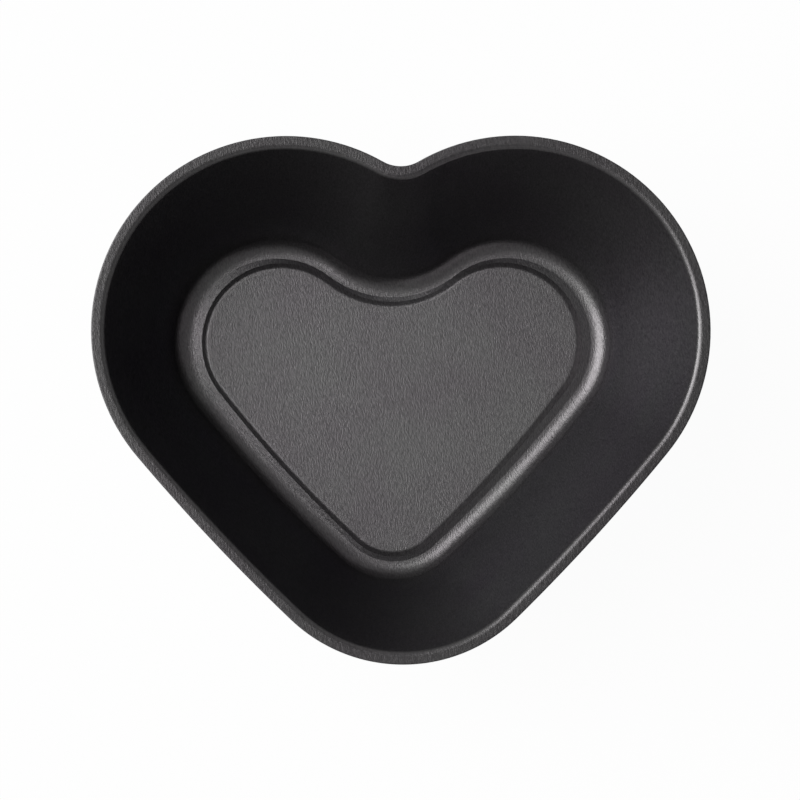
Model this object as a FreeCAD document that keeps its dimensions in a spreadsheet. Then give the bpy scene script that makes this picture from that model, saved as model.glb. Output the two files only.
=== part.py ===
# Heart-shaped cake pan, pressed from one steel sheet: a flat rim flange, a drafted wall,
# a rounded base corner, a groove ring that rises gently inwards and a floor panel
# raised inside it by a short step.
# Millimetres. X runs across the heart, +Y from the tip to the notch, +Z up.
# The origin is on the table, under the middle of the rim.
import FreeCAD, Part
import math
import os
import Sketcher
from FreeCAD import Placement, Rotation, Vector

# Each outline is a heart of six tangent arcs: notch, lobe, side, tip, side, lobe.
DRIVING_SIZES = (
    ("sheet_gauge", 0.6, "steel sheet with its coating"),
    ("pan_height", 36.0, "table to the top of the rim"),
    ("rim_width", 102.0, "over the flange, across the lobes"),
    ("rim_length", 87.0, "over the flange, lobe tops to tip"),
    ("rim_lobe_radius", 32.1, "outer edge of the flange"),
    ("rim_notch_radius", 5.9, "outer edge of the flange"),
    ("rim_side_radius", 339.0, "outer edge of the flange"),
    ("rim_tip_radius", 26.7, "outer edge of the flange"),
    ("flange_width", 2.0, "outer edge to the corner where wall and flange meet"),
    ("flange_bend_radius", 0.95, "top side of the sheet"),
    ("flange_edge_radius", 0.15, "both corners of the cut edge"),
    ("wall_run_across", 11.95, "level run of the wall where the lobes are widest"),
    ("wall_run_along", 12.7, "level run of the wall at the lobe tops and the tip"),
    ("base_lobe_shift", 1.0, "further out that each lobe has its centre at the base"),
    ("base_tip_shift", 0.65, "nearer the middle that the tip has its centre at the base"),
    ("base_notch_radius", 15.6, "corner where wall and groove meet"),
    ("base_side_radius", 218.0, "same corner"),
    ("base_bend_radius", 3.0, "inside of the sheet"),
    ("groove_flat", 0.3, "level stretch that the pan rests on"),
    ("groove_rise", 0.25, "gentle rise from there to the step"),
    ("groove_run", 0.85, "level run of that rise"),
    ("groove_lobe_extra", 0.75, "more run where it faces out of the lobes"),
    ("step_rise", 0.45, "groove to panel"),
    ("step_run", 0.8, "level run of the step up to the panel"),
    ("step_bend_radius", 0.5, "inside of each bend of groove and step"),
)

LEVEL_TOLERANCE = 1e-5
UP = 1
DOWN = -1

doc = FreeCAD.newDocument("heart_cake_pan")
sizes = doc.addObject("Spreadsheet::Sheet", "sizes")
for row, (alias, value, meaning) in enumerate(DRIVING_SIZES, start=1):
    sizes.set(f"A{row}", alias)
    sizes.set(f"B{row}", str(value))
    sizes.setAlias(f"B{row}", alias)
    sizes.set(f"C{row}", meaning)
doc.recompute()

# What follows from the driving sizes, as expressions on the sheet's cells.
WALL_RUN = "min(sizes.wall_run_across; sizes.wall_run_along)"
WALL_RISE = "(sizes.pan_height - sizes.sheet_gauge)"
WALL_TURN = f"(90 deg - atan({WALL_RUN} / {WALL_RISE}))"
GROOVE_TURN = "atan(sizes.groove_rise / sizes.groove_run)"
STEP_TURN = "atan(sizes.step_rise / sizes.step_run)"
# Where two sloping stretches meet: the mean of their slopes, and half their difference.
KNEE_MEAN = f"(({GROOVE_TURN} + {STEP_TURN}) / 2)"
KNEE_HALF = f"(({STEP_TURN} - {GROOVE_TURN}) / 2)"
# Past a bend, the far side's corner stands off by the gauge times the tangent of half the turn.
WALL_MITRE = f"(sizes.sheet_gauge * tan({WALL_TURN} / 2))"
GROOVE_MITRE = f"(sizes.sheet_gauge * tan({GROOVE_TURN} / 2))"
STEP_MITRE = f"(sizes.sheet_gauge * tan({STEP_TURN} / 2))"
KNEE_MITRE = f"(sizes.sheet_gauge * sin({KNEE_MEAN}) / cos({KNEE_HALF}))"
KNEE_DROP = f"(sizes.sheet_gauge * cos({KNEE_MEAN}) / cos({KNEE_HALF}))"
# The bottom is as wide as the two bends that meet in it, with a level stretch between.
BOTTOM_WIDTH = (
    f"(sizes.base_bend_radius * tan({WALL_TURN} / 2)"
    f" + sizes.step_bend_radius * tan({GROOVE_TURN} / 2) + sizes.groove_flat)"
)
SHEET_TOP = "sizes.sheet_gauge"
KNEE_TOP = "(sizes.sheet_gauge + sizes.groove_rise)"
KNEE_UNDERSIDE = f"({KNEE_TOP} - {KNEE_DROP})"
PANEL_UNDERSIDE = "(sizes.groove_rise + sizes.step_rise)"
PANEL_TOP = f"(sizes.sheet_gauge + {PANEL_UNDERSIDE})"
RIM_TOP = "sizes.pan_height"
RIM_UNDERSIDE = "(sizes.pan_height - sizes.sheet_gauge)"


def rim_outline():
    """The heart of the flange's outer edge."""
    return {
        "width": "sizes.rim_width",
        "length": "sizes.rim_length",
        "lobe": "sizes.rim_lobe_radius",
        "notch": "sizes.rim_notch_radius",
        "side": "sizes.rim_side_radius",
        "tip": "sizes.rim_tip_radius",
    }


def base_outline(mouth):
    """The heart where wall and groove meet, from the one where wall and flange meet."""
    return {
        "width": f"({mouth['width']} - 2 * sizes.wall_run_across)",
        "length": f"({mouth['length']} - 2 * sizes.wall_run_along)",
        "lobe": f"({mouth['lobe']} - sizes.wall_run_across - sizes.base_lobe_shift)",
        "notch": "sizes.base_notch_radius",
        "side": "sizes.base_side_radius",
        "tip": f"({mouth['tip']} - sizes.wall_run_along + sizes.base_tip_shift)",
    }


def inset(heart, distance):
    """The same heart with its whole edge moved inwards by distance."""
    return {
        "width": f"({heart['width']} - 2 * {distance})",
        "length": f"({heart['length']} - 2 * {distance})",
        "lobe": f"({heart['lobe']} - {distance})",
        "notch": f"({heart['notch']} + {distance})",
        "side": f"({heart['side']} - {distance})",
        "tip": f"({heart['tip']} - {distance})",
    }


def outset(heart, distance):
    """The same heart with its whole edge moved outwards by distance."""
    return inset(heart, f"(-1 * {distance})")


def narrowed(heart, distance):
    """The same heart with each lobe moved towards the middle, and its notch's depth kept."""
    lobe = heart["lobe"]
    reach = f"({lobe} + {heart['notch']})"
    lobe_across = f"({heart['width']} / 2 - {lobe})"
    new_across = f"({lobe_across} - {distance})"
    # The notch's lowest point above the line through both lobe centres.
    rise = f"(sqrt({reach}^2 - {lobe_across}^2) - {heart['notch']})"
    return {
        **heart,
        "width": f"({heart['width']} - 2 * {distance})",
        "notch": f"(({new_across}^2 + {rise}^2 - {lobe}^2) / (2 * ({lobe} - {rise})))",
    }


def number(expression):
    """The value of an expression, worked out by the document."""
    return float(sizes.evalExpression(expression))


def heart_arcs(width, length, lobe, notch, side, tip):
    """Start places for the six arcs: centre, radius and the angles of both ends."""
    lobe_centre = Vector(width / 2 - lobe, length / 2 - lobe, 0)
    tip_centre = Vector(0, tip - length / 2, 0)
    notch_rise = math.sqrt((lobe + notch) ** 2 - lobe_centre.x**2)
    notch_centre = Vector(0, lobe_centre.y + notch_rise, 0)
    # The side arc touches lobe and tip from outside, with its centre across the heart.
    across = tip_centre - lobe_centre
    to_lobe = side - lobe
    to_tip = side - tip
    along = (to_lobe**2 - to_tip**2 + across.Length**2) / (2 * across.Length)
    away = math.sqrt(to_lobe**2 - along**2)
    direction = Vector(across).normalize()
    side_centre = lobe_centre + direction * along + Vector(direction.y, -direction.x, 0) * away

    def angle(centre, towards):
        return math.atan2(towards.y - centre.y, towards.x - centre.x)

    def mirrored(point):
        return Vector(-point.x, point.y, 0)

    notch_angle = angle(notch_centre, lobe_centre)
    lobe_start = angle(side_centre, lobe_centre)
    tip_end = angle(side_centre, tip_centre)
    return (
        (notch_centre, notch, -math.pi - notch_angle, notch_angle),
        (lobe_centre, lobe, lobe_start, notch_angle + math.pi),
        (side_centre, side, tip_end, lobe_start),
        (tip_centre, tip, -math.pi - tip_end, tip_end),
        (mirrored(side_centre), side, math.pi - lobe_start, math.pi - tip_end),
        (mirrored(lobe_centre), lobe, -notch_angle, math.pi - lobe_start),
    )


def origin_plane(body, role):
    """The body's own origin plane with that role."""
    return next(plane for plane in body.Origin.OriginFeatures if plane.Role == role)


def heart_sketch(body, name, heart, height):
    """A closed heart in a level plane of its own, every size bound to the sheet."""
    sketch = body.newObject("Sketcher::SketchObject", name)
    sketch.AttachmentSupport = (origin_plane(body, "XY_Plane"), "")
    sketch.MapMode = "FlatFace"
    sketch.setExpression("AttachmentOffset.Base.z", height)
    places = heart_arcs(**{key: number(value) for key, value in heart.items()})
    for centre, radius, start, end in places:
        circle = Part.Circle(centre, Vector(0, 0, 1), radius)
        sketch.addGeometry(Part.ArcOfCircle(circle, start, end), False)
    notch, lobe, side, tip, left_side, left_lobe = range(6)
    # Ends of an arc and its centre, as a sketch numbers them.
    start, end, centre = 1, 2, 3
    axes, upright = -1, -2
    joints = (
        (notch, end, lobe, end),
        (lobe, start, side, end),
        (side, start, tip, end),
        (tip, start, left_side, end),
        (left_side, start, left_lobe, end),
        (left_lobe, start, notch, start),
    )
    for joint in joints:
        sketch.addConstraint(Sketcher.Constraint("Tangent", *joint))
    sketch.addConstraint(Sketcher.Constraint("PointOnObject", notch, centre, upright))
    sketch.addConstraint(Sketcher.Constraint("PointOnObject", tip, centre, upright))
    sketch.addConstraint(
        Sketcher.Constraint("Symmetric", lobe, centre, left_lobe, centre, upright)
    )
    sketch.addConstraint(Sketcher.Constraint("Equal", side, left_side))
    driving = (
        ("lobe_radius", ("Radius", lobe), heart["lobe"]),
        ("notch_radius", ("Radius", notch), heart["notch"]),
        ("side_radius", ("Radius", side), heart["side"]),
        ("tip_radius", ("Radius", tip), heart["tip"]),
        (
            "lobe_across",
            ("DistanceX", axes, start, lobe, centre),
            f"({heart['width']}) / 2 - ({heart['lobe']})",
        ),
        (
            "lobe_along",
            ("DistanceY", axes, start, lobe, centre),
            f"({heart['length']}) / 2 - ({heart['lobe']})",
        ),
        (
            "tip_along",
            ("DistanceY", tip, centre, axes, start),
            f"({heart['length']}) / 2 - ({heart['tip']})",
        ),
    )
    for label, kind, expression in driving:
        place = sketch.addConstraint(Sketcher.Constraint(*kind, number(expression)))
        sketch.renameConstraint(place, label)
        sketch.setExpression(f"Constraints.{label}", expression)
    return sketch


def loft(body, kind, name, lowest, *others):
    """A ruled loft through heart sketches from the lowest up, Additive or Subtractive."""
    feature = body.newObject(f"PartDesign::{kind}Loft", name)
    feature.Profile = lowest
    feature.Sections = list(others)
    feature.Ruled = True
    doc.recompute()
    return feature


def level_loop(shape, height, facing, outer):
    """Edge names of one loop of the widest level face at a height that faces up or down."""
    level = [
        face
        for face in shape.Faces
        if max(abs(face.BoundBox.ZMin - height), abs(face.BoundBox.ZMax - height)) < LEVEL_TOLERANCE
        and face.normalAt(0, 0).z * facing > 0
    ]
    face = max(level, key=lambda candidate: candidate.BoundBox.XLength)
    loops = [wire for wire in face.Wires if wire.isSame(face.OuterWire) == outer]
    wanted = [edge for wire in loops for edge in wire.Edges]
    return [
        f"Edge{place}"
        for place, edge in enumerate(shape.Edges, start=1)
        if any(edge.isSame(other) for other in wanted)
    ]


def bend(body, name, height, facing, outer, radius):
    """A fillet on one heart-shaped loop of the body as it stands, round a level face."""
    base = body.Tip
    feature = body.newObject("PartDesign::Fillet", name)
    feature.Base = (base, level_loop(base.Shape, number(height), facing, outer))
    feature.setExpression("Radius", radius)
    doc.recompute()
    return feature


def cake_pan():
    """The pan as one pressed sheet, from the outside in and then the floor panel."""
    body = doc.addObject("PartDesign::Body", "heart_cake_pan")
    rim = rim_outline()
    mouth = inset(rim, "sizes.flange_width")
    base = base_outline(mouth)
    groove_foot = inset(base, BOTTOM_WIDTH)
    knee = narrowed(inset(groove_foot, "sizes.groove_run"), "sizes.groove_lobe_extra")
    panel_edge = inset(knee, "sizes.step_run")

    wall_foot = heart_sketch(body, "wall_foot_outside", outset(base, WALL_MITRE), "0")
    wall_head = heart_sketch(
        body, "wall_head_outside", outset(mouth, WALL_MITRE), RIM_UNDERSIDE
    )
    loft(body, "Additive", "drawn_wall", wall_foot, wall_head)
    flange = body.newObject("PartDesign::Pad", "flange")
    flange.Profile = heart_sketch(body, "rim_edge", rim, RIM_UNDERSIDE)
    flange.setExpression("Length", "sizes.sheet_gauge")
    doc.recompute()
    bend(body, "rim_edge_top", RIM_TOP, UP, True, "sizes.flange_edge_radius")
    bend(body, "rim_edge_underside", RIM_UNDERSIDE, DOWN, True, "sizes.flange_edge_radius")

    hollow_foot = heart_sketch(body, "wall_foot_inside", base, SHEET_TOP)
    hollow_mouth = heart_sketch(body, "wall_head_inside", mouth, RIM_TOP)
    loft(body, "Subtractive", "hollow", hollow_foot, hollow_mouth)
    bend(body, "base_bend_inside", SHEET_TOP, UP, True, "sizes.base_bend_radius")
    outer_base_radius = "sizes.base_bend_radius + sizes.sheet_gauge"
    bend(body, "base_bend_outside", "0", DOWN, True, outer_base_radius)
    bend(body, "flange_bend_top", RIM_TOP, UP, False, "sizes.flange_bend_radius")
    bend(
        body,
        "flange_bend_underside",
        RIM_UNDERSIDE,
        DOWN,
        False,
        "sizes.flange_bend_radius - sizes.sheet_gauge",
    )

    foot_top = heart_sketch(body, "groove_foot_top", groove_foot, SHEET_TOP)
    knee_top = heart_sketch(body, "knee_top", knee, KNEE_TOP)
    edge_top = heart_sketch(body, "panel_edge_top", panel_edge, PANEL_TOP)
    loft(body, "Additive", "panel", foot_top, knee_top, edge_top)
    foot_below = heart_sketch(body, "groove_foot_below", inset(groove_foot, GROOVE_MITRE), "0")
    knee_below = heart_sketch(body, "knee_below", inset(knee, KNEE_MITRE), KNEE_UNDERSIDE)
    edge_below = heart_sketch(
        body, "panel_edge_below", inset(panel_edge, STEP_MITRE), PANEL_UNDERSIDE
    )
    loft(body, "Subtractive", "panel_recess", foot_below, knee_below, edge_below)
    inner_radius = "sizes.step_bend_radius"
    outer_radius = "sizes.step_bend_radius + sizes.sheet_gauge"
    bend(body, "panel_edge_bend_below", PANEL_UNDERSIDE, DOWN, True, inner_radius)
    bend(body, "groove_foot_bend_below", "0", DOWN, False, outer_radius)
    bend(body, "groove_foot_bend_top", SHEET_TOP, UP, False, inner_radius)
    bend(body, "panel_edge_bend_top", PANEL_TOP, UP, True, outer_radius)
    body.Label = "heart_cake_pan"
    body.Placement = Placement(Vector(0, 0, 0), Rotation())
    return body


def checked(body):
    """Stop on any failed object, or on a sub-part that isn't one sound solid."""
    doc.recompute()
    for item in doc.Objects:
        if "Invalid" in item.State or "Error" in item.State:
            raise RuntimeError(f"{item.Name} failed: {item.State}")
    shape = body.Shape
    if shape.isNull() or not shape.isValid() or len(shape.Solids) != 1:
        raise RuntimeError(f"{body.Label} isn't one sound solid")
    return shape


os.makedirs("parts", exist_ok=True)
pan = cake_pan()
shape = checked(pan)
shape.exportStep(f"parts/{pan.Label}.step")
print(f"{pan.Label}: {shape.Volume:.1f} mm3, {shape.Area:.0f} mm2, {shape.BoundBox}")
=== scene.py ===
import math
from collections import namedtuple

import bmesh
import bpy
from mathutils import Matrix, Quaternion, Vector


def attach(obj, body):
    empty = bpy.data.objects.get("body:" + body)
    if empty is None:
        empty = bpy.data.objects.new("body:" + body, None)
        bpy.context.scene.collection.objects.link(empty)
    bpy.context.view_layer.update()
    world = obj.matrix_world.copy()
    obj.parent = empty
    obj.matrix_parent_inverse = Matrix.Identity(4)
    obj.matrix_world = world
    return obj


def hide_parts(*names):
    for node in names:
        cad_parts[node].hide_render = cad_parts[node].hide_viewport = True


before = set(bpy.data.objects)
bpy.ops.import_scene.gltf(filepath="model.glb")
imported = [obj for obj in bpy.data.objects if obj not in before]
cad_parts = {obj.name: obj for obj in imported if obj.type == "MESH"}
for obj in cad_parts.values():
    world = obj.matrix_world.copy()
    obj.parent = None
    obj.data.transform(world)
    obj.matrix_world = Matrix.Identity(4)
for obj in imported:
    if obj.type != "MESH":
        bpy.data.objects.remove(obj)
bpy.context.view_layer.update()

MM = 0.001

# Sizes of the pan, the same as in the part's source.
SHEET_GAUGE = 0.6 * MM
PAN_HEIGHT = 36.0 * MM
FLANGE_WIDTH = 2.0 * MM
FLANGE_BEND_RADIUS = 0.95 * MM
FLANGE_EDGE_RADIUS = 0.15 * MM
WALL_RUN = 11.95 * MM
BASE_BEND_RADIUS = 3.0 * MM
GROOVE_FLAT = 0.3 * MM
GROOVE_RISE = 0.25 * MM
GROOVE_RUN = 0.85 * MM
GROOVE_LOBE_EXTRA = 0.75 * MM
STEP_RISE = 0.45 * MM
STEP_RUN = 0.8 * MM
STEP_BEND_RADIUS = 0.5 * MM

# How far the sheet turns from the wall, the groove and the step to the level.
WALL_TURN = math.atan2(PAN_HEIGHT - SHEET_GAUGE, WALL_RUN)
GROOVE_TURN = math.atan2(GROOVE_RISE, GROOVE_RUN)
STEP_TURN = math.atan2(STEP_RISE, STEP_RUN)

# A heart of six tangent arcs: its outside sizes and the radii of its arcs.
Heart = namedtuple("Heart", "width length lobe notch side tip")
RIM = Heart(102.0 * MM, 87.0 * MM, 32.1 * MM, 5.9 * MM, 339.0 * MM, 26.7 * MM)
BASE = Heart(74.1 * MM, 57.6 * MM, 17.15 * MM, 15.6 * MM, 218.0 * MM, 12.65 * MM)

# The coating: its greys, and how it mirrors straight on and at a glance.
COATING_DARK = (0.113, 0.109, 0.112, 1)
COATING_LIGHT = (0.179, 0.174, 0.177, 1)
WARM_TINT = (1.0, 0.97, 0.99, 1)
COOL_TINT = (0.99, 1.0, 0.985, 1)
GLANCING_TINT = (0.15, 0.16, 0.22, 1)
MIRRORING = 0.87
SPECULAR_LEVEL = 0.2
ROUGHNESS = 0.36
ROUGHNESS_SPREAD = 0.03

# Its grain: waves per metre of strokes, peel and clouds, and the relief of them.
STROKE_SCALE = 4900
STROKE_SLANT = math.radians(-12)
STROKE_THINNESS = 0.28
PEEL_SCALE = 2200
PEEL_SHARE = 0.6
CLOUD_SCALE = 70
GRAIN_DEPTH = 0.018 * MM

# Painted shade on the rim's flat, and where the coat is rubbed: depths below the rim's top, and
# the height of the ring's foot.
# Painted shade: the colour of the rim's flat is multiplied by this factor.
RIM_PAINTED_SHADE = 0.57
RIM_PAINTED_SHADE_START = 0.16 * MM
RIM_PAINTED_SHADE_END = 0.01 * MM
RIM_WEAR_START = 0.65 * MM
RIM_WEAR_END = 0.5 * MM
RING_WEAR_HEIGHT = 0.12 * MM
WORN_GREY = (0.3, 0.3, 0.3, 1)

# The floor, and how much of it the camera sees as plain white.
FLOOR_GREY = (0.9, 0.9, 0.9, 1)
FLOOR_WHITENESS = 0.965
FLOOR_HALF_SIZE = 3.0

# The studio: light from all round, and what the coating mirrors low down and overhead.
WORLD_LEVEL = 0.03
HORIZON_LEVEL = 0.15
CEILING_LEVEL = 0.3
CEILING_START = 0.6

# The soft box: degrees round and up from the pan, metres and watts.
KEY_TARGET = (0, 0, 18 * MM)
KEY_AZIMUTH = 165
KEY_ELEVATION = 44
KEY_DISTANCE = 1.8
KEY_WIDTH = 1.45
KEY_HEIGHT = 2.25
KEY_POWER = 47

# The camera: which way and how far it stands from its target on the rim, and its lens.
CAMERA_AWAY = (-0.048, -0.05, 1.0)
CAMERA_TARGET = (-0.42 * MM, -0.11 * MM, PAN_HEIGHT)
CAMERA_DISTANCE = 0.651
CAMERA_ROLL = -0.0072
LENS = 178.4
SENSOR_WIDTH = 36.0

# Edges along each arc of half a heart.
NOTCH_STEPS = 14
LOBE_STEPS = 64
SIDE_STEPS = 14
TIP_STEPS = 22

# Rings along the sheet: how many each bend and the wall have, and where the others lie.
FLANGE_BEND_STEPS = 9
BASE_BEND_STEPS = 12
GROOVE_BEND_STEPS = 4
STEP_BEND_STEPS = 6
CUT_EDGE_STEPS = 4
WALL_STEPS = 16
FLANGE_SHARES = (0.12, 0.5, 0.88)
GROOVE_SHARES = (0.6, 0.93, 1.0)
STEP_SHARE = 0.06
PANEL_INSETS = (0.4 * MM, 3.0 * MM)


def inset(heart, distance):
    """The same heart with its whole edge moved inwards by distance."""
    return Heart(
        heart.width - 2 * distance,
        heart.length - 2 * distance,
        heart.lobe - distance,
        heart.notch + distance,
        heart.side - distance,
        heart.tip - distance,
    )


def between(first, second, share):
    """The heart that lies a share of the way from the first to the second."""
    return Heart(*(a + (b - a) * share for a, b in zip(first, second)))


def narrowed(heart, distance):
    """The same heart with each lobe moved towards the middle, and its notch's depth kept."""
    lobe_across = heart.width / 2 - heart.lobe
    reach = heart.lobe + heart.notch
    rise = math.sqrt(reach**2 - lobe_across**2) - heart.notch
    notch = ((lobe_across - distance) ** 2 + rise**2 - heart.lobe**2) / (2 * (heart.lobe - rise))
    return heart._replace(width=heart.width - 2 * distance, notch=notch)


def half_heart(heart, height):
    """The right half of a heart at a height, as edges spun from the notch to the tip."""
    lobe_x = heart.width / 2 - heart.lobe
    lobe_y = heart.length / 2 - heart.lobe
    tip_y = heart.tip - heart.length / 2
    notch_y = lobe_y + math.sqrt((heart.lobe + heart.notch) ** 2 - lobe_x**2)
    # The side arc's centre lies across the heart, at one distance from lobe and tip.
    across = Vector((-lobe_x, tip_y - lobe_y))
    to_lobe = heart.side - heart.lobe
    to_tip = heart.side - heart.tip
    along = (to_lobe**2 - to_tip**2 + across.length_squared) / (2 * across.length)
    away = math.sqrt(to_lobe**2 - along**2)
    direction = across.normalized()
    side = Vector((lobe_x, lobe_y)) + direction * along
    side += Vector((direction.y, -direction.x)) * away
    notch_turn = math.atan2(lobe_x, notch_y - lobe_y)
    side_start = math.atan2(lobe_y - side.y, lobe_x - side.x)
    side_end = math.atan2(tip_y - side.y, -side.x)
    lobe_turn = math.pi / 2 + notch_turn - side_start
    tip_turn = math.pi / 2 + side_end
    outline = bmesh.new()
    end = bmesh.ops.create_vert(outline, co=(0, notch_y - heart.notch, height))["vert"]
    for centre, turn, steps in (
        ((0, notch_y), notch_turn, NOTCH_STEPS),
        ((lobe_x, lobe_y), -lobe_turn, LOBE_STEPS),
        (side, side_end - side_start, SIDE_STEPS),
        ((0, tip_y), -tip_turn, TIP_STEPS),
    ):
        end = bmesh.ops.spin(
            outline,
            geom=end,
            cent=(centre[0], centre[1], height),
            axis=(0, 0, 1),
            angle=turn,
            steps=steps,
            use_duplicate=False,
        )["geom_last"]
    return outline


def add_ring(mesh, outline):
    """Moves an outline into the mesh and gives the edges that it has there."""
    known = len(mesh.edges)
    data = bpy.data.meshes.new("ring")
    outline.to_mesh(data)
    outline.free()
    mesh.from_mesh(data)
    bpy.data.meshes.remove(data)
    mesh.edges.ensure_lookup_table()
    return mesh.edges[known:]


def corner_arc(radius, turn, steps):
    """Points of a bend from the level side to the sloping one: distance in and rise."""
    reach = radius * math.tan(turn / 2)
    points = []
    for step in range(steps + 1):
        angle = turn * step / steps
        rise = radius * (1 - math.cos(angle))
        points.append((reach - radius * math.sin(angle) + rise / math.tan(turn), rise))
    return points


def edge_arc(radius, steps):
    """Points of the rounding of a cut edge, from the level side to the upright one."""
    angles = [math.pi / 2 * step / steps for step in range(steps + 1)]
    return [(radius * (1 - math.sin(angle)), radius * (1 - math.cos(angle))) for angle in angles]


def side_of_sheet(rim_level, bend_radius, wall, base_level, base_radius, groove, levels, radii):
    """Rings of one side of the sheet, from the cut edge inwards: heart and height of each.

    wall gives its upper and lower hearts, groove those of its foot, of the knee where the
    step begins and of the panel's edge. levels are the heights of knee and panel, and radii
    those of the bends at the groove's foot and at the panel's edge.
    """
    mouth, base = wall
    foot, knee, edge = groove
    knee_level, panel_level = levels
    foot_radius, edge_radius = radii

    def on_wall(level):
        return between(mouth, base, (rim_level - level) / (rim_level - base_level))

    def on_groove(level):
        return between(foot, knee, (level - base_level) / (knee_level - base_level))

    def on_step(level):
        return between(knee, edge, (level - knee_level) / (panel_level - knee_level))

    rings = []
    flange_bend = corner_arc(bend_radius, WALL_TURN, FLANGE_BEND_STEPS)
    flange_start = mouth.width / 2 + flange_bend[0][0]
    flange_end = RIM.width / 2 - FLANGE_EDGE_RADIUS
    for share in FLANGE_SHARES:
        place = flange_end + (flange_start - flange_end) * share
        rings.append((inset(mouth, mouth.width / 2 - place), rim_level))
    for run, rise in flange_bend:
        rings.append((inset(on_wall(rim_level - rise), -run), rim_level - rise))
    base_bend = corner_arc(base_radius, WALL_TURN, BASE_BEND_STEPS)
    top = rings[-1][1]
    bottom = base_level + base_bend[-1][1]
    for step in range(1, WALL_STEPS):
        level = top + (bottom - top) * step / WALL_STEPS
        rings.append((on_wall(level), level))
    for run, rise in reversed(base_bend):
        rings.append((inset(on_wall(base_level + rise), run), base_level + rise))
    for run, rise in corner_arc(foot_radius, GROOVE_TURN, GROOVE_BEND_STEPS):
        rings.append((inset(on_groove(base_level + rise), -run), base_level + rise))
    # Rings close to the knee on both sides keep the fold there crisp.
    for share in GROOVE_SHARES:
        level = base_level + (knee_level - base_level) * share
        rings.append((on_groove(level), level))
    level = knee_level + (panel_level - knee_level) * STEP_SHARE
    rings.append((on_step(level), level))
    for run, rise in reversed(corner_arc(edge_radius, STEP_TURN, STEP_BEND_STEPS)):
        rings.append((inset(on_step(panel_level - rise), run), panel_level - rise))
    for distance in PANEL_INSETS:
        rings.append((inset(rings[-1][0], distance), panel_level))
    return rings


def pan_rings():
    """All rings of the sheet, from the middle of its underside round the rim to its top."""
    knee_mean = (GROOVE_TURN + STEP_TURN) / 2
    knee_half = (STEP_TURN - GROOVE_TURN) / 2
    wall_mitre = SHEET_GAUGE * math.tan(WALL_TURN / 2)
    groove_mitre = SHEET_GAUGE * math.tan(GROOVE_TURN / 2)
    step_mitre = SHEET_GAUGE * math.tan(STEP_TURN / 2)
    knee_mitre = SHEET_GAUGE * math.sin(knee_mean) / math.cos(knee_half)
    knee_drop = SHEET_GAUGE * math.cos(knee_mean) / math.cos(knee_half)
    bottom = BASE_BEND_RADIUS * math.tan(WALL_TURN / 2)
    bottom += STEP_BEND_RADIUS * math.tan(GROOVE_TURN / 2) + GROOVE_FLAT
    mouth = inset(RIM, FLANGE_WIDTH)
    foot = inset(BASE, bottom)
    knee = narrowed(inset(foot, GROOVE_RUN), GROOVE_LOBE_EXTRA)
    edge = inset(knee, STEP_RUN)
    rim_underside = PAN_HEIGHT - SHEET_GAUGE
    outer_radius = STEP_BEND_RADIUS + SHEET_GAUGE
    knee_top = SHEET_GAUGE + GROOVE_RISE
    panel_underside = GROOVE_RISE + STEP_RISE
    top = side_of_sheet(
        PAN_HEIGHT,
        FLANGE_BEND_RADIUS,
        (mouth, BASE),
        SHEET_GAUGE,
        BASE_BEND_RADIUS,
        (foot, knee, edge),
        (knee_top, SHEET_GAUGE + panel_underside),
        (STEP_BEND_RADIUS, outer_radius),
    )
    underside = side_of_sheet(
        rim_underside,
        FLANGE_BEND_RADIUS - SHEET_GAUGE,
        (inset(mouth, -wall_mitre), inset(BASE, -wall_mitre)),
        0.0,
        BASE_BEND_RADIUS + SHEET_GAUGE,
        (inset(foot, groove_mitre), inset(knee, knee_mitre), inset(edge, step_mitre)),
        (knee_top - knee_drop, panel_underside),
        (outer_radius, STEP_BEND_RADIUS),
    )
    rounding = edge_arc(FLANGE_EDGE_RADIUS, CUT_EDGE_STEPS)
    cut_edge = [(inset(RIM, run), rim_underside + rise) for run, rise in rounding]
    cut_edge += [(inset(RIM, run), PAN_HEIGHT - rise) for run, rise in reversed(rounding)]
    return underside[::-1] + cut_edge + top


def pan_sheet():
    """The pressed pan as one closed shell: half of it ring by ring, and its mirror image."""
    mesh = bmesh.new()
    rings = [add_ring(mesh, half_heart(heart, height)) for heart, height in pan_rings()]
    for lower, upper in zip(rings, rings[1:]):
        bmesh.ops.bridge_loops(mesh, edges=lower + upper)
    for ring in (rings[0], rings[-1]):
        bmesh.ops.contextual_create(mesh, geom=list({v for edge in ring for v in edge.verts}))
    whole = mesh.verts[:] + mesh.edges[:] + mesh.faces[:]
    bmesh.ops.mirror(mesh, geom=whole, matrix=Matrix.Identity(4), merge_dist=1e-7, axis="X")
    bmesh.ops.remove_doubles(mesh, verts=mesh.verts, dist=1e-6)
    bmesh.ops.recalc_face_normals(mesh, faces=mesh.faces)
    for face in mesh.faces:
        face.smooth = True
    data = bpy.data.meshes.new("cake_pan_sheet")
    mesh.to_mesh(data)
    mesh.free()
    piece = bpy.data.objects.new("cake_pan_sheet", data)
    bpy.context.scene.collection.objects.link(piece)
    return piece


def add_socket(group, name, direction, kind):
    """Adds an input or output to a node group."""
    return group.interface.new_socket(name=name, in_out=direction, socket_type=kind)


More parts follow.
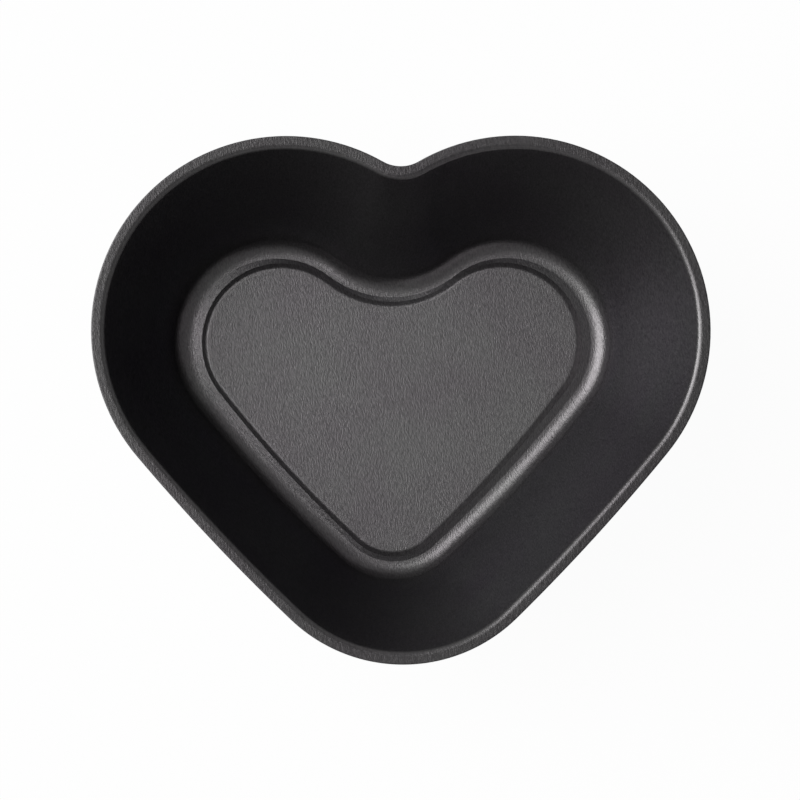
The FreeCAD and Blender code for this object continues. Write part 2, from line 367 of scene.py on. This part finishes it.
def spray_grain():
    """The coating's pattern: short slanted strokes, an orange peel and wide clouds, 0 to 1."""
    group = bpy.data.node_groups.new("spray_grain", "ShaderNodeTree")
    add_socket(group, "Place", "INPUT", "NodeSocketVector")
    add_socket(group, "Strokes", "OUTPUT", "NodeSocketFloat")
    add_socket(group, "Peel", "OUTPUT", "NodeSocketFloat")
    add_socket(group, "Clouds", "OUTPUT", "NodeSocketFloat")
    nodes = group.nodes
    links = group.links
    inside = nodes.new("NodeGroupInput")
    outside = nodes.new("NodeGroupOutput")
    slant = nodes.new("ShaderNodeMapping")
    slant.inputs["Rotation"].default_value = (0.0, 0.0, STROKE_SLANT)
    stretch = nodes.new("ShaderNodeMapping")
    stretch.inputs["Scale"].default_value = (1.0, STROKE_THINNESS, STROKE_THINNESS)
    strokes = nodes.new("ShaderNodeTexNoise")
    strokes.inputs["Scale"].default_value = STROKE_SCALE
    strokes.inputs["Detail"].default_value = 2.0
    strokes.inputs["Roughness"].default_value = 0.6
    spread = nodes.new("ShaderNodeMapRange")
    spread.inputs["From Min"].default_value = 0.3
    spread.inputs["From Max"].default_value = 0.7
    peel = nodes.new("ShaderNodeTexNoise")
    peel.inputs["Scale"].default_value = PEEL_SCALE
    peel.inputs["Detail"].default_value = 1.0
    clouds = nodes.new("ShaderNodeTexNoise")
    clouds.inputs["Scale"].default_value = CLOUD_SCALE
    clouds.inputs["Detail"].default_value = 3.0
    links.new(inside.outputs["Place"], slant.inputs["Vector"])
    links.new(slant.outputs["Vector"], stretch.inputs["Vector"])
    links.new(stretch.outputs["Vector"], strokes.inputs["Vector"])
    links.new(strokes.outputs["Fac"], spread.inputs["Value"])
    links.new(spread.outputs["Result"], outside.inputs["Strokes"])
    links.new(inside.outputs["Place"], peel.inputs["Vector"])
    links.new(peel.outputs["Fac"], outside.inputs["Peel"])
    links.new(inside.outputs["Place"], clouds.inputs["Vector"])
    links.new(clouds.outputs["Fac"], outside.inputs["Clouds"])
    return group


def edge_wear():
    """Where the coating is rubbed: on the rim's cut edge and under the resting ring, 0 to 1."""
    group = bpy.data.node_groups.new("edge_wear", "ShaderNodeTree")
    add_socket(group, "Place", "INPUT", "NodeSocketVector")
    add_socket(group, "Patches", "INPUT", "NodeSocketFloat")
    add_socket(group, "Wear", "OUTPUT", "NodeSocketFloat")
    nodes = group.nodes
    links = group.links
    inside = nodes.new("NodeGroupInput")
    outside = nodes.new("NodeGroupOutput")
    parts = nodes.new("ShaderNodeSeparateXYZ")
    surface = nodes.new("ShaderNodeNewGeometry")
    facing = nodes.new("ShaderNodeSeparateXYZ")
    upright = nodes.new("ShaderNodeMath")
    upright.operation = "ABSOLUTE"
    sideways = nodes.new("ShaderNodeMapRange")
    sideways.inputs["From Min"].default_value = 0.95
    sideways.inputs["From Max"].default_value = 0.3
    rim = nodes.new("ShaderNodeMapRange")
    rim.inputs["From Min"].default_value = PAN_HEIGHT - RIM_WEAR_START
    rim.inputs["From Max"].default_value = PAN_HEIGHT - RIM_WEAR_END
    ring = nodes.new("ShaderNodeMapRange")
    ring.inputs["From Min"].default_value = RING_WEAR_HEIGHT
    ring.inputs["From Max"].default_value = 0.0
    at_rim = nodes.new("ShaderNodeMath")
    at_rim.operation = "MULTIPLY"
    either = nodes.new("ShaderNodeMath")
    either.operation = "MAXIMUM"
    patchy = nodes.new("ShaderNodeMath")
    patchy.operation = "MULTIPLY"
    links.new(inside.outputs["Place"], parts.inputs["Vector"])
    links.new(parts.outputs["Z"], rim.inputs["Value"])
    links.new(parts.outputs["Z"], ring.inputs["Value"])
    links.new(surface.outputs["Normal"], facing.inputs["Vector"])
    links.new(facing.outputs["Z"], upright.inputs[0])
    links.new(upright.outputs["Value"], sideways.inputs["Value"])
    links.new(rim.outputs["Result"], at_rim.inputs[0])
    links.new(sideways.outputs["Result"], at_rim.inputs[1])
    links.new(at_rim.outputs["Value"], either.inputs[0])
    links.new(ring.outputs["Result"], either.inputs[1])
    links.new(either.outputs["Value"], patchy.inputs[0])
    links.new(inside.outputs["Patches"], patchy.inputs[1])
    links.new(patchy.outputs["Value"], outside.inputs["Wear"])
    return group


def painted_rim_shade():
    """Painted shade by height: the coat's colour is made darker on the rim's flat."""
    group = bpy.data.node_groups.new("painted_rim_shade", "ShaderNodeTree")
    add_socket(group, "Place", "INPUT", "NodeSocketVector")
    add_socket(group, "Shade", "OUTPUT", "NodeSocketFloat")
    inside = group.nodes.new("NodeGroupInput")
    outside = group.nodes.new("NodeGroupOutput")
    parts = group.nodes.new("ShaderNodeSeparateXYZ")
    # Painted shade: the colour factor falls from 1 below the flat to the darker factor on the
    # flat.
    ramp = group.nodes.new("ShaderNodeMapRange")
    ramp.inputs["From Min"].default_value = PAN_HEIGHT - RIM_PAINTED_SHADE_START
    ramp.inputs["From Max"].default_value = PAN_HEIGHT - RIM_PAINTED_SHADE_END
    ramp.inputs["To Min"].default_value = 1.0
    ramp.inputs["To Max"].default_value = RIM_PAINTED_SHADE
    group.links.new(inside.outputs["Place"], parts.inputs["Vector"])
    group.links.new(parts.outputs["Z"], ramp.inputs["Value"])
    group.links.new(ramp.outputs["Result"], outside.inputs["Shade"])
    return group


def coating_material():
    """Dark grey non-stick coating, sprayed on and baked."""
    material = bpy.data.materials.new("nonstick_coating")
    material.use_nodes = True
    nodes = material.node_tree.nodes
    links = material.node_tree.links
    shader = nodes["Principled BSDF"]
    shader.inputs["Metallic"].default_value = MIRRORING
    shader.inputs["Specular IOR Level"].default_value = SPECULAR_LEVEL
    shader.inputs["Specular Tint"].default_value = GLANCING_TINT
    place = nodes.new("ShaderNodeTexCoord")
    grain = nodes.new("ShaderNodeGroup")
    grain.node_tree = spray_grain()
    wear = nodes.new("ShaderNodeGroup")
    wear.node_tree = edge_wear()
    grey = nodes.new("ShaderNodeMix")
    grey.data_type = "RGBA"
    grey.inputs[6].default_value = COATING_DARK
    grey.inputs[7].default_value = COATING_LIGHT
    tinted = nodes.new("ShaderNodeMix")
    tinted.data_type = "RGBA"
    tinted.blend_type = "MULTIPLY"
    tinted.inputs["Factor"].default_value = 1.0
    tint = nodes.new("ShaderNodeValToRGB")
    tint.color_ramp.elements[0].position = 0.35
    tint.color_ramp.elements[0].color = WARM_TINT
    tint.color_ramp.elements[1].position = 0.65
    tint.color_ramp.elements[1].color = COOL_TINT
    # Painted shade: the base colour is darkened on the rim's flat.
    painted_shade = nodes.new("ShaderNodeGroup")
    painted_shade.node_tree = painted_rim_shade()
    with_painted_shade = nodes.new("ShaderNodeMix")
    with_painted_shade.data_type = "RGBA"
    with_painted_shade.blend_type = "MULTIPLY"
    with_painted_shade.inputs["Factor"].default_value = 1.0
    worn = nodes.new("ShaderNodeMix")
    worn.data_type = "RGBA"
    worn.inputs[7].default_value = WORN_GREY
    gloss = nodes.new("ShaderNodeMapRange")
    gloss.inputs["From Min"].default_value = 0.3
    gloss.inputs["From Max"].default_value = 0.7
    gloss.inputs["To Min"].default_value = ROUGHNESS - ROUGHNESS_SPREAD
    gloss.inputs["To Max"].default_value = ROUGHNESS + ROUGHNESS_SPREAD
    height = nodes.new("ShaderNodeMath")
    height.operation = "MULTIPLY_ADD"
    height.inputs[1].default_value = PEEL_SHARE
    bump = nodes.new("ShaderNodeBump")
    bump.inputs["Strength"].default_value = 1.0
    bump.inputs["Distance"].default_value = GRAIN_DEPTH
    links.new(place.outputs["Object"], grain.inputs["Place"])
    links.new(place.outputs["Object"], wear.inputs["Place"])
    links.new(grain.outputs["Clouds"], wear.inputs["Patches"])
    links.new(grain.outputs["Strokes"], grey.inputs["Factor"])
    links.new(grain.outputs["Clouds"], tint.inputs["Fac"])
    links.new(grey.outputs[2], tinted.inputs[6])
    links.new(tint.outputs["Color"], tinted.inputs[7])
    links.new(wear.outputs["Wear"], worn.inputs["Factor"])
    links.new(place.outputs["Object"], painted_shade.inputs["Place"])
    links.new(tinted.outputs[2], with_painted_shade.inputs[6])
    links.new(painted_shade.outputs["Shade"], with_painted_shade.inputs[7])
    links.new(with_painted_shade.outputs[2], worn.inputs[6])
    links.new(worn.outputs[2], shader.inputs["Base Color"])
    links.new(grain.outputs["Clouds"], gloss.inputs["Value"])
    links.new(gloss.outputs["Result"], shader.inputs["Roughness"])
    links.new(grain.outputs["Peel"], height.inputs[0])
    links.new(grain.outputs["Strokes"], height.inputs[2])
    links.new(height.outputs["Value"], bump.inputs["Height"])
    links.new(bump.outputs["Normal"], shader.inputs["Normal"])
    return material


def floor_material():
    """Plain white floor that the camera sees as white, with the pan's shadow kept."""
    material = bpy.data.materials.new("white_floor")
    material.use_nodes = True
    nodes = material.node_tree.nodes
    links = material.node_tree.links
    shader = nodes["Principled BSDF"]
    shader.inputs["Base Color"].default_value = FLOOR_GREY
    shader.inputs["Roughness"].default_value = 0.9
    glow = nodes.new("ShaderNodeEmission")
    glow.inputs["Color"].default_value = (1, 1, 1, 1)
    glow.inputs["Strength"].default_value = 1.0
    ray = nodes.new("ShaderNodeLightPath")
    shown = nodes.new("ShaderNodeMath")
    shown.operation = "ADD"
    shown.use_clamp = True
    through = nodes.new("ShaderNodeMath")
    through.operation = "ADD"
    through.use_clamp = True
    seen = nodes.new("ShaderNodeMath")
    seen.operation = "MULTIPLY"
    seen.inputs[1].default_value = FLOOR_WHITENESS
    mixed = nodes.new("ShaderNodeMixShader")
    links.new(ray.outputs["Is Camera Ray"], shown.inputs[0])
    links.new(ray.outputs["Is Glossy Ray"], shown.inputs[1])
    links.new(shown.outputs["Value"], through.inputs[0])
    links.new(ray.outputs["Is Transmission Ray"], through.inputs[1])
    links.new(through.outputs["Value"], seen.inputs[0])
    links.new(seen.outputs["Value"], mixed.inputs["Fac"])
    links.new(shader.outputs["BSDF"], mixed.inputs[1])
    links.new(glow.outputs["Emission"], mixed.inputs[2])
    links.new(mixed.outputs["Shader"], nodes["Material Output"].inputs["Surface"])
    return material


def floor():
    """A level floor under the pan."""
    mesh = bmesh.new()
    bmesh.ops.create_grid(mesh, x_segments=1, y_segments=1, size=FLOOR_HALF_SIZE)
    data = bpy.data.meshes.new("floor")
    mesh.to_mesh(data)
    mesh.free()
    piece = bpy.data.objects.new("floor", data)
    piece.data.materials.append(floor_material())
    bpy.context.scene.collection.objects.link(piece)
    return piece


def soft_box(name, target, azimuth, elevation, distance, width, height, power):
    """A rectangular lamp that faces the target. Azimuth 0 is the +X side, 90 the +Y side."""
    data = bpy.data.lights.new(name, "AREA")
    data.shape = "RECTANGLE"
    data.size = width
    data.size_y = height
    data.energy = power
    lamp = bpy.data.objects.new(name, data)
    turn = math.radians(azimuth)
    lift = math.radians(elevation)
    away = Vector(
        (math.cos(turn) * math.cos(lift), math.sin(turn) * math.cos(lift), math.sin(lift))
    )
    lamp.location = target + away * distance
    lamp.rotation_mode = "QUATERNION"
    lamp.rotation_quaternion = (-away).to_track_quat("-Z", "Y")
    bpy.context.scene.collection.objects.link(lamp)
    return lamp


def studio():
    """Surroundings that the camera sees as white, and one large soft box on the left.

    The coating mirrors them as dim, a little brighter overhead than low down.
    """
    world = bpy.data.worlds.new("studio")
    bpy.context.scene.world = world
    world.use_nodes = True
    nodes = world.node_tree.nodes
    links = world.node_tree.links
    sky = nodes["Background"]
    sky.inputs["Color"].default_value = (1, 1, 1, 1)
    ray = nodes.new("ShaderNodeLightPath")
    direction = nodes.new("ShaderNodeTexCoord")
    height = nodes.new("ShaderNodeSeparateXYZ")
    reflected = nodes.new("ShaderNodeMapRange")
    reflected.inputs["From Min"].default_value = 0.0
    reflected.inputs["From Max"].default_value = CEILING_START
    reflected.inputs["To Min"].default_value = HORIZON_LEVEL
    reflected.inputs["To Max"].default_value = CEILING_LEVEL
    glossy = nodes.new("ShaderNodeMix")
    glossy.inputs["A"].default_value = WORLD_LEVEL
    direct = nodes.new("ShaderNodeMath")
    direct.operation = "ADD"
    direct.use_clamp = True
    seen = nodes.new("ShaderNodeMix")
    seen.inputs["B"].default_value = 1.0
    links.new(direction.outputs["Generated"], height.inputs["Vector"])
    links.new(height.outputs["Z"], reflected.inputs["Value"])
    links.new(ray.outputs["Is Glossy Ray"], glossy.inputs["Factor"])
    links.new(reflected.outputs["Result"], glossy.inputs["B"])
    links.new(ray.outputs["Is Camera Ray"], direct.inputs[0])
    links.new(ray.outputs["Is Transmission Ray"], direct.inputs[1])
    links.new(direct.outputs["Value"], seen.inputs["Factor"])
    links.new(glossy.outputs["Result"], seen.inputs["A"])
    links.new(seen.outputs["Result"], sky.inputs["Strength"])
    soft_box(
        "key",
        Vector(KEY_TARGET),
        KEY_AZIMUTH,
        KEY_ELEVATION,
        KEY_DISTANCE,
        KEY_WIDTH,
        KEY_HEIGHT,
        KEY_POWER,
    )


def camera():
    """A long lens above the pan, a little to the left of it and towards its tip."""
    data = bpy.data.cameras.new("camera")
    data.lens = LENS
    data.sensor_width = SENSOR_WIDTH
    data.clip_start = 0.01
    data.clip_end = 10.0
    body = bpy.data.objects.new("camera", data)
    away = Vector(CAMERA_AWAY).normalized()
    body.location = Vector(CAMERA_TARGET) + away * CAMERA_DISTANCE
    body.rotation_mode = "QUATERNION"
    across = Vector((0, 1, 0)).cross(away).normalized()
    aim = Matrix((across, away.cross(across), away)).transposed().to_quaternion()
    body.rotation_quaternion = aim @ Quaternion((0, 0, 1), CAMERA_ROLL)
    bpy.context.scene.collection.objects.link(body)
    bpy.context.scene.camera = body
    return body


bpy.context.scene.view_settings.view_transform = "Standard"
pan = pan_sheet()
pan.data.materials.append(coating_material())
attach(pan, "root")
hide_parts("heart_cake_pan")
floor()
studio()
camera()
